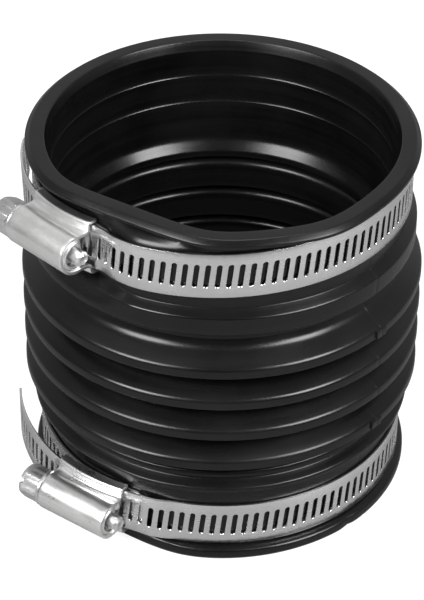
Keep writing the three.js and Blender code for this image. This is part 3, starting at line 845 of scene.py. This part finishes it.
def make_end_rolls(clamp, material):
    """At each end the barrel's sheet is rolled in round the screw."""
    profile = rounded(ROLL_PROFILE)
    for end, label in ((-1, "head"), (1, "tip")):
        vertices = []
        sweep = math.pi - 2 * SPRING_ANGLE
        for i in range(ROLL_STEPS + 1):
            angle = SPRING_ANGLE + sweep * i / ROLL_STEPS
            for inset, radius in profile:
                x = end * (HOUSING_HALF - inset)
                vertices.append(clamp.place(x, radius * math.sin(angle), radius * math.cos(angle)))
        count = len(profile)
        faces = []
        for i in range(ROLL_STEPS):
            for k in range(count):
                after = (k + 1) % count
                here = i * count
                beside = here + count
                faces.append((here + k, here + after, beside + after, beside + k))
        faces.append(tuple(range(count)))
        faces.append(tuple(reversed(range(ROLL_STEPS * count, (ROLL_STEPS + 1) * count))))
        roll = new_piece(f"{clamp.name}_housing_{label}_roll", vertices, faces, material, sharp_angle=40)
        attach(roll, f"{clamp.name}_end")


# ---------- Worm screw ----------
SCREW_SIDES = 96
THREAD_ROWS = 14
CORNER_SOFTNESS = 0.12 * MM
CREST_SHARE = 0.34
FLANK_SHARE = 0.16
SCREW_SHARP_DEGREES = 28
COLLAR_INNER_X = -HOUSING_HALF - FIT_GAP
COLLAR_OUTER_X = COLLAR_INNER_X - COLLAR_LENGTH
HEAD_FACE_X = COLLAR_OUTER_X - HEX_LENGTH + 0.1 * MM
WORM_HALF = HOUSING_HALF - 2 * MM
BEYOND_HEXAGON = 9 * MM
# (distance in from the head's face, radius): the dished face, then the turned chamfer on the corners.
HEAD_DISH = ((0.25 * MM, 2 * MM), (0, 3.4 * MM), (0, 4.3 * MM))
HEAD_CHAMFER = (
    (0.06 * MM, 4.7 * MM),
    (0.25 * MM, 5.05 * MM),
    (0.6 * MM, 5.35 * MM),
    (1 * MM, 5.55 * MM),
    (1.5 * MM, BEYOND_HEXAGON),
)
HEAD_FOOT = 0.2 * MM
COLLAR_STEP_RADIUS = 5 * MM
COLLAR_EDGE = ((0, 5.35 * MM), (0.1 * MM, 5.6 * MM), (0.35 * MM, 5.75 * MM))
TIP_FOOT = 0.01 * MM
TIP_PLAIN_END = 1.6 * MM
# The hammered tip: (distance in from its end, smaller in radius by, depth of the dents).
TIP_DENTS = (
    (0.9 * MM, 0, 0.05),
    (0.3 * MM, 0.35 * MM, 0.12),
    (0, 0.9 * MM, 0.16),
    (0.25 * MM, 1.5 * MM, 0.2),
)
DENTS_ROUND = 5
DENTS_UNEVEN = 2


def hex_radius(angle):
    """A hexagon in polar form, with its corners just rounded."""
    sixth = math.pi / 3
    from_flat = (angle + sixth / 2) % sixth - sixth / 2
    flat = HEX_ACROSS_FLATS / 2 / math.cos(from_flat)
    corner = HEX_ACROSS_FLATS / 2 / math.cos(sixth / 2)
    near = math.exp(-(corner - flat) / CORNER_SOFTNESS)
    return flat - CORNER_SOFTNESS * 0.5 * near


def thread_radius(x, angle):
    turn = x / SLOT_PITCH - angle / (2 * math.pi)
    from_crest = abs(turn - round(turn))
    rise = min(1.0, max(0.0, (CREST_SHARE - from_crest) / FLANK_SHARE))
    return WORM_ROOT + (WORM_CREST - WORM_ROOT) * rise


def screw_rows():
    """(x, radius function) from the head's outer face to the tip."""
    def plain(radius):
        return lambda angle: radius

    def head(limit):
        return lambda angle: min(hex_radius(angle), limit)

    def worm(x):
        return lambda angle: thread_radius(x, angle)

    def dented(radius, depth):
        def at(angle):
            return radius * (1 + depth * math.sin(DENTS_ROUND * angle) * math.cos(DENTS_UNEVEN * angle + 1))
        return at

    rows = [(HEAD_FACE_X + inset, plain(radius)) for inset, radius in HEAD_DISH]
    for inset, radius in HEAD_CHAMFER:
        rows.append((HEAD_FACE_X + inset, head(radius)))
    rows.append((COLLAR_OUTER_X - HEAD_FOOT, head(BEYOND_HEXAGON)))
    rows.append((COLLAR_OUTER_X, plain(COLLAR_STEP_RADIUS)))
    for inset, radius in COLLAR_EDGE:
        rows.append((COLLAR_OUTER_X + inset, plain(radius)))
    for inset, radius in reversed(COLLAR_EDGE):
        rows.append((COLLAR_INNER_X - inset, plain(radius)))
    rows.append((COLLAR_INNER_X, plain(JOURNAL_RADIUS)))
    rows.append((-WORM_HALF, plain(JOURNAL_RADIUS)))
    steps = round(2 * WORM_HALF / SLOT_PITCH * THREAD_ROWS)
    for i in range(steps + 1):
        x = -WORM_HALF + 2 * WORM_HALF * i / steps
        rows.append((x, worm(x)))
    tip = HOUSING_HALF + TIP_LENGTH
    rows.append((WORM_HALF + TIP_FOOT, plain(TIP_RADIUS)))
    rows.append((tip - TIP_PLAIN_END, plain(TIP_RADIUS)))
    for inset, smaller, depth in TIP_DENTS:
        rows.append((tip - inset, dented(TIP_RADIUS - smaller, depth)))
    return rows


CUTTER_CLEAR = 1 * MM
CUTTER_FLARE = 1.15
CUTTER_FILLET = 0.5 * MM


def head_slot_cutter(clamp):
    """A round-bottomed bar across the head's outer face, along the head's turn."""
    half = DRIVE_SLOT_WIDTH / 2
    section = rounded([
        (HEAD_FACE_X - CUTTER_CLEAR, -half * CUTTER_FLARE, 0),
        (HEAD_FACE_X + DRIVE_SLOT_DEPTH, -half, CUTTER_FILLET),
        (HEAD_FACE_X + DRIVE_SLOT_DEPTH, half, CUTTER_FILLET),
        (HEAD_FACE_X - CUTTER_CLEAR, half * CUTTER_FLARE, 0),
    ])
    reach = HEX_ACROSS_FLATS
    cosine = math.cos(clamp.head_turn)
    sine = math.sin(clamp.head_turn)
    vertices = []
    for far in (-reach, reach):
        for x, across in section:
            vertices.append(clamp.place(x, far * cosine - across * sine, far * sine + across * cosine))
    count = len(section)
    faces = [tuple(range(count)), tuple(reversed(range(count, 2 * count)))]
    for k in range(count):
        after = (k + 1) % count
        faces.append((k, after, count + after, count + k))
    mesh = bpy.data.meshes.new("cutter")
    mesh.from_pydata([tuple(v) for v in vertices], [], faces)
    cutter = bpy.data.objects.new("cutter", mesh)
    bpy.context.scene.collection.objects.link(cutter)
    tidy = bmesh.new()
    tidy.from_mesh(mesh)
    bmesh.ops.recalc_face_normals(tidy, faces=tidy.faces)
    tidy.to_mesh(mesh)
    tidy.free()
    return cutter


def make_screw(clamp, material):
    rows = screw_rows()
    vertices = []
    for i in range(SCREW_SIDES):
        angle = 2 * math.pi * i / SCREW_SIDES
        out = math.cos(angle + clamp.head_turn)
        up = math.sin(angle + clamp.head_turn)
        for x, radius_at in rows:
            radius = radius_at(angle)
            vertices.append(clamp.place(x, radius * out, radius * up))
    faces = grid_faces(SCREW_SIDES, len(rows), closed=True)
    first = [i * len(rows) for i in range(SCREW_SIDES)]
    faces.append(tuple(first))
    faces.append(tuple(i + len(rows) - 1 for i in reversed(first)))
    screw = new_piece(f"{clamp.name}_worm_screw", vertices, faces, material, SCREW_SHARP_DEGREES)
    cutter = head_slot_cutter(clamp)
    cut = screw.modifiers.new("slot", "BOOLEAN")
    cut.operation = "DIFFERENCE"
    cut.solver = "EXACT"
    cut.object = cutter
    apply_modifiers(screw)
    bpy.data.objects.remove(cutter)
    screw.data.set_sharp_from_angle(angle=math.radians(SCREW_SHARP_DEGREES))
    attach(screw, f"{clamp.name}_screw")
    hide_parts(f"{clamp.name}_screw")


# ---------- Materials ----------
NOISE_LOW = 0.3
NOISE_HIGH = 0.7


class Nodes:
    """A material's node tree, with short ways to add what these materials share."""

    def __init__(self, name):
        self.material = bpy.data.materials.new(name)
        self.material.use_nodes = True
        self.tree = self.material.node_tree
        self.surface = self.tree.nodes["Principled BSDF"]
        self.place = self.add("ShaderNodeTexCoord").outputs["Object"]

    def add(self, kind, **settings):
        node = self.tree.nodes.new(kind)
        for key, value in settings.items():
            setattr(node, key, value)
        return node

    def link(self, source, target):
        self.tree.links.new(source, target)

    def set(self, **values):
        for key, value in values.items():
            self.surface.inputs[key.replace("_", " ")].default_value = value

    def noise(self, scale, stretch=(1, 1, 1), detail=4.0, roughness=0.55):
        mapping = self.add("ShaderNodeMapping")
        mapping.inputs["Scale"].default_value = stretch
        self.link(self.place, mapping.inputs["Vector"])
        noise = self.add("ShaderNodeTexNoise")
        noise.inputs["Scale"].default_value = scale
        noise.inputs["Detail"].default_value = detail
        noise.inputs["Roughness"].default_value = roughness
        self.link(mapping.outputs["Vector"], noise.inputs["Vector"])
        return noise.outputs["Fac"]

    def remap(self, source, low, high, to_low, to_high):
        remap = self.add("ShaderNodeMapRange")
        remap.inputs["From Min"].default_value = low
        remap.inputs["From Max"].default_value = high
        remap.inputs["To Min"].default_value = to_low
        remap.inputs["To Max"].default_value = to_high
        self.link(source, remap.inputs["Value"])
        return remap.outputs["Result"]

    def spread(self, noise, to_low, to_high):
        """A noise's usual values, spread over a range."""
        return self.remap(noise, NOISE_LOW, NOISE_HIGH, to_low, to_high)

    def combine(self, operation, first, second):
        node = self.add("ShaderNodeMath", operation=operation)
        for socket, value in zip(node.inputs, (first, second)):
            if isinstance(value, (int, float)):
                socket.default_value = value
            else:
                self.link(value, socket)
        return node.outputs["Value"]

    def mix(self, share, first, second):
        node = self.add("ShaderNodeMix", data_type="RGBA")
        self.link(share, node.inputs["Factor"])
        node.inputs["A"].default_value = (*first, 1)
        node.inputs["B"].default_value = (*second, 1)
        return node.outputs["Result"]

    def bump(self, height, strength, distance):
        bump = self.add("ShaderNodeBump")
        bump.inputs["Strength"].default_value = strength
        bump.inputs["Distance"].default_value = distance
        self.link(height, bump.inputs["Height"])
        self.link(bump.outputs["Normal"], self.surface.inputs["Normal"])


RUBBER_DARK = (0.0015, 0.0015, 0.0015)
RUBBER_PALE = (0.007, 0.007, 0.0075)


def rubber_material():
    """Satin moulded rubber: fine lines round the mould, a faint bloom and a few specks of dust."""
    nodes = Nodes("moulded_rubber")
    lines = nodes.noise(420, stretch=(0.03, 0.03, 1), detail=3)
    bloom = nodes.noise(38, detail=5)
    grain = nodes.noise(2600, detail=2)
    specks = nodes.noise(900, detail=2)
    dust = nodes.remap(specks, low=0.70, high=0.76, to_low=0, to_high=0.5)
    shade = nodes.combine("ADD", nodes.spread(bloom, 0, 0.5), nodes.spread(lines, 0, 0.25))
    shade = nodes.combine("MAXIMUM", shade, dust)
    colour = nodes.mix(shade, RUBBER_DARK, RUBBER_PALE)
    nodes.link(colour, nodes.surface.inputs["Base Color"])
    gloss = nodes.combine("ADD", nodes.spread(bloom, 0.22, 0.31), nodes.spread(lines, -0.04, 0.05))
    nodes.link(gloss, nodes.surface.inputs["Roughness"])
    nodes.set(Specular_IOR_Level=0.32)
    height = nodes.combine("ADD", lines, nodes.combine("MULTIPLY", grain, 0.35))
    nodes.bump(height, strength=0.35, distance=0.06 * MM)
    return nodes.material


def steel_material(name, low, high, roughness, line_stretch, bump_strength):
    """Metal between two greys and two roughnesses, with a soft cloudiness, rolling lines and fine pits."""
    nodes = Nodes(name)
    cloud = nodes.noise(90, detail=4)
    lines = nodes.noise(1500, stretch=line_stretch, detail=3)
    pits = nodes.noise(2400, detail=2)
    shade = nodes.combine("ADD", nodes.spread(cloud, 0, 0.6), nodes.spread(lines, 0, 0.4))
    nodes.link(nodes.mix(shade, low, high), nodes.surface.inputs["Base Color"])
    gloss = nodes.combine("ADD", nodes.spread(cloud, *roughness), nodes.spread(lines, -0.03, 0.03))
    nodes.link(gloss, nodes.surface.inputs["Roughness"])
    nodes.set(Metallic=1.0)
    height = nodes.combine("ADD", lines, nodes.combine("MULTIPLY", pits, 0.5))
    nodes.bump(height, bump_strength, distance=0.03 * MM)
    return nodes.material


def band_material():
    return steel_material(
        "rolled_band_steel",
        low=(0.70, 0.70, 0.71),
        high=(0.82, 0.82, 0.82),
        roughness=(0.20, 0.30),
        line_stretch=(0.04, 0.04, 1),
        bump_strength=0.05,
    )


def housing_material():
    return steel_material(
        "pressed_housing_steel",
        low=(0.80, 0.80, 0.79),
        high=(0.93, 0.93, 0.92),
        roughness=(0.27, 0.37),
        line_stretch=(1, 1, 1),
        bump_strength=0.05,
    )


def screw_material():
    return steel_material(
        "plated_screw_steel",
        low=(0.64, 0.64, 0.64),
        high=(0.80, 0.80, 0.79),
        roughness=(0.28, 0.40),
        line_stretch=(1, 1, 1),
        bump_strength=0.12,
    )


# ---------- Camera, floor and light ----------
CAMERA_AZIMUTH = math.radians(40)
CAMERA_DISTANCE = 0.6119
CAMERA_HEIGHT = 0.5011
CAMERA_PITCH = 0.6286
CAMERA_ROLL = 0.011
CAMERA_LENS = 147.18
CAMERA_SHIFT = (-0.01578, -0.00538)
SENSOR_WIDTH = 36

FLOOR_HALF = 3.0
FLOOR_Z = -0.05 * MM
FLOOR_GLOW_REFLECTED = 0.06
FLOOR_GLOW_SEEN = 0.86

ROOM_FADE = 0.8
ROOM_NEAR = 0.05
ROOM_FAR = 0.55
# Each light's place to the camera's right, away from the camera and above the floor, its size and its power.
LIGHTS = {
    "left_box": (-0.54, -0.5, 0.6, 0.4, 10),
    "right_box": (0.56, -0.46, 0.6, 0.4, 10),
    "top_box": (0.0, 0.35, 1.5, 0.6, 6),
}


def make_camera():
    data = bpy.data.cameras.new("view")
    camera = bpy.data.objects.new("view", data)
    bpy.context.scene.collection.objects.link(camera)
    data.sensor_width = SENSOR_WIDTH
    data.lens = CAMERA_LENS
    data.shift_x, data.shift_y = CAMERA_SHIFT
    away = Vector((math.sin(CAMERA_AZIMUTH), -math.cos(CAMERA_AZIMUTH), 0))
    back = away * math.cos(CAMERA_PITCH) + Vector((0, 0, math.sin(CAMERA_PITCH)))
    level = back.to_track_quat("Z", "Y").to_matrix().to_4x4()
    place = Matrix.Translation(away * CAMERA_DISTANCE + Vector((0, 0, CAMERA_HEIGHT)))
    camera.matrix_world = place @ level @ Matrix.Rotation(CAMERA_ROLL, 4, "Z")
    bpy.context.scene.camera = camera


def make_floor():
    """A pale table, lit from within where it is seen directly, so that it looks white behind the coupling."""
    nodes = Nodes("pale_floor")
    tone = nodes.mix(nodes.noise(6), (0.19, 0.19, 0.19), (0.22, 0.22, 0.22))
    nodes.link(tone, nodes.surface.inputs["Base Color"])
    seen = nodes.add("ShaderNodeLightPath").outputs["Is Camera Ray"]
    glow = nodes.remap(seen, 0, 1, FLOOR_GLOW_REFLECTED, FLOOR_GLOW_SEEN)
    nodes.link(glow, nodes.surface.inputs["Emission Strength"])
    nodes.set(Roughness=0.7, Emission_Color=(1, 1, 1, 1))
    half = FLOOR_HALF
    corners = [(-half, -half), (half, -half), (half, half), (-half, half)]
    mesh = bpy.data.meshes.new("floor")
    mesh.from_pydata([(x, y, FLOOR_Z) for x, y in corners], [], [(0, 1, 2, 3)])
    mesh.materials.append(nodes.material)
    floor = bpy.data.objects.new("floor", mesh)
    bpy.context.scene.collection.objects.link(floor)


def area_light(name, side, back, height, size, power):
    """A square light aimed at the coupling. side is to the camera's right, and back is away from it."""
    right = Vector((math.cos(CAMERA_AZIMUTH), math.sin(CAMERA_AZIMUTH), 0))
    behind = Vector((-math.sin(CAMERA_AZIMUTH), math.cos(CAMERA_AZIMUTH), 0))
    place = right * side + behind * back + Vector((0, 0, height))
    data = bpy.data.lights.new(name, "AREA")
    data.shape = "SQUARE"
    data.size = size
    data.energy = power
    light = bpy.data.objects.new(name, data)
    light.matrix_world = Matrix.Translation(place) @ place.to_track_quat("Z", "Y").to_matrix().to_4x4()
    bpy.context.scene.collection.objects.link(light)


def make_light():
    """Soft boxes at both sides and above, in a room that is darker behind the camera."""
    world = bpy.data.worlds.new("studio")
    world.use_nodes = True
    tree = world.node_tree
    background = tree.nodes["Background"]
    background.inputs["Color"].default_value = (1, 1, 1, 1)
    direction = tree.nodes.new("ShaderNodeTexCoord")
    facing = tree.nodes.new("ShaderNodeVectorMath")
    facing.operation = "DOT_PRODUCT"
    facing.inputs[1].default_value = (-math.sin(CAMERA_AZIMUTH), math.cos(CAMERA_AZIMUTH), 0)
    fade = tree.nodes.new("ShaderNodeMapRange")
    tree.links.new(direction.outputs["Generated"], facing.inputs[0])
    tree.links.new(facing.outputs["Value"], fade.inputs["Value"])
    fade.inputs["From Min"].default_value = -ROOM_FADE
    fade.inputs["From Max"].default_value = ROOM_FADE
    fade.inputs["To Min"].default_value = ROOM_NEAR
    fade.inputs["To Max"].default_value = ROOM_FAR
    tree.links.new(fade.outputs["Result"], background.inputs["Strength"])
    bpy.context.scene.world = world
    for name, (side, back, height, size, power) in LIGHTS.items():
        area_light(name, side, back, height, size, power)
    bpy.context.scene.view_settings.view_transform = "Standard"


# ---------- The coupling ----------
def build():
    rubber = rubber_material()
    band = band_material()
    housing = housing_material()
    screw = screw_material()
    make_camera()
    make_floor()
    make_light()
    make_sleeve(rubber)
    for clamp in CLAMPS:
        make_loop(clamp, band)
        make_tail(clamp, band)
        make_shell(clamp, housing)
        make_end_rolls(clamp, housing)
        make_screw(clamp, screw)
        saddle = frame["nodes"][f"{clamp.name}_saddle"]
        saddle.data.materials.clear()
        saddle.data.materials.append(housing)


build()
